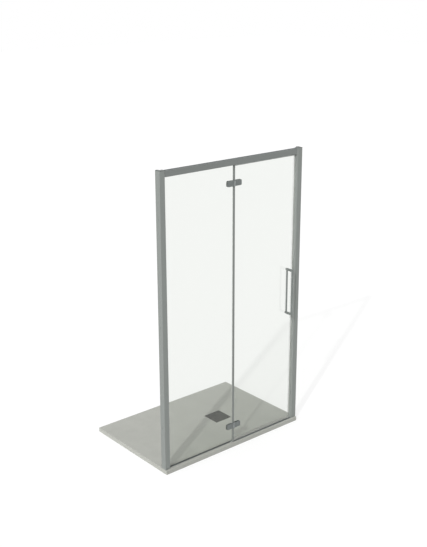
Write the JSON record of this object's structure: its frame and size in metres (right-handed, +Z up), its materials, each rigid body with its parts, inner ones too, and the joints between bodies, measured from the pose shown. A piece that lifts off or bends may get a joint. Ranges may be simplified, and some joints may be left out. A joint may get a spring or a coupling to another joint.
{
  "type": "shower enclosure",
  "caption": "Niche shower enclosure: flat tray, slim metal frame, fixed clear glass pane and an outward hinged glass door with a loop handle, square drain cover.",
  "frame": {"origin": "middle of the tray's underside, on the floor", "axes": "+X to the right as seen from the room, +Y from the glass front to the back of the niche, +Z up"},
  "size_m": [1.2, 0.832, 2.033],
  "materials": {
    "stone_resin": "matte",
    "cover_plate": "matte",
    "waste_steel": "satin",
    "anodised": "satin anodised",
    "hinge_metal": "satin",
    "handle_metal": "satin",
    "screw_steel": "satin",
    "safety_glass": "clear",
    "dark_rubber": "matte",
    "grey_seal": "satin",
    "drip_plastic": "matte",
    "pale_seal": "satin",
    "pale_plastic": "matte",
    "cap_plastic": "matte"
  },
  "bodies": {
    "enclosure": {"closing_profile": "anodised", "fixed_foot_seal": "dark_rubber", "fixed_glass": "safety_glass", "fixed_side_gasket": "dark_rubber", "fixed_top_gasket": "dark_rubber", "frame_magnet_strip": "pale_plastic", "glass_profile_left": "anodised", "hair_strainer": "waste_steel", "hinge_high_fixed_back_leaf": "hinge_metal", "hinge_high_fixed_leaf": "hinge_metal", "hinge_high_fixed_pad": "dark_rubber", "hinge_high_fixed_screw_1": "screw_steel", "hinge_high_fixed_screw_2": "screw_steel", "hinge_high_pin": "screw_steel", "hinge_low_fixed_back_leaf": "hinge_metal", "hinge_low_fixed_leaf": "hinge_metal", "hinge_low_fixed_pad": "dark_rubber", "hinge_low_fixed_screw_1": "screw_steel", "hinge_low_fixed_screw_2": "screw_steel", "hinge_low_pin": "screw_steel", "lock_screw_left_high": "screw_steel", "lock_screw_left_low": "screw_steel", "lock_screw_right_high": "screw_steel", "lock_screw_right_low": "screw_steel", "profile_cap_left": "cap_plastic", "profile_cap_right": "cap_plastic", "rail_bracket_left": "cap_plastic", "rail_bracket_right": "cap_plastic", "rail_bracket_screw_left": "screw_steel", "rail_bracket_screw_right": "screw_steel", "rail_stop_strip": "dark_rubber", "shower_tray": "stone_resin", "sill_end_block": "pale_plastic", "threshold_strip": "dark_rubber", "top_rail": "anodised", "wall_profile_left": "anodised", "wall_profile_right": "anodised", "waste_flange": "waste_steel", "waste_gasket": "dark_rubber", "waste_nut": "cap_plastic"},
    "door": {"door_drip_seal": "drip_plastic", "door_glass": "safety_glass", "door_magnet_seal": "pale_seal", "handle_loop": "handle_metal", "handle_screw_high": "handle_metal", "handle_screw_low": "handle_metal", "hinge_high_door_back_leaf": "hinge_metal", "hinge_high_door_leaf": "hinge_metal", "hinge_high_door_pad": "dark_rubber", "hinge_high_door_screw_1": "screw_steel", "hinge_high_door_screw_2": "screw_steel", "hinge_low_door_back_leaf": "hinge_metal", "hinge_low_door_leaf": "hinge_metal", "hinge_low_door_pad": "dark_rubber", "hinge_low_door_screw_1": "screw_steel", "hinge_low_door_screw_2": "screw_steel", "split_seal_lower": "grey_seal", "split_seal_middle": "grey_seal", "split_seal_upper": "grey_seal"},
    "cover": {"drain_cover": "cover_plate"}
  },
  "joints": [
    {"name": "door_hinge", "type": "hinge", "parent": "enclosure", "child": "door", "pos_m": [0.005, -0.3795, 1.01], "axis": [0, 0, -1], "range_deg": [0, 110]},
    {"name": "cover_lift", "type": "slide", "parent": "enclosure", "child": "cover", "axis": [0, 0, 1], "range_m": [0, 0.15]}
  ]
}
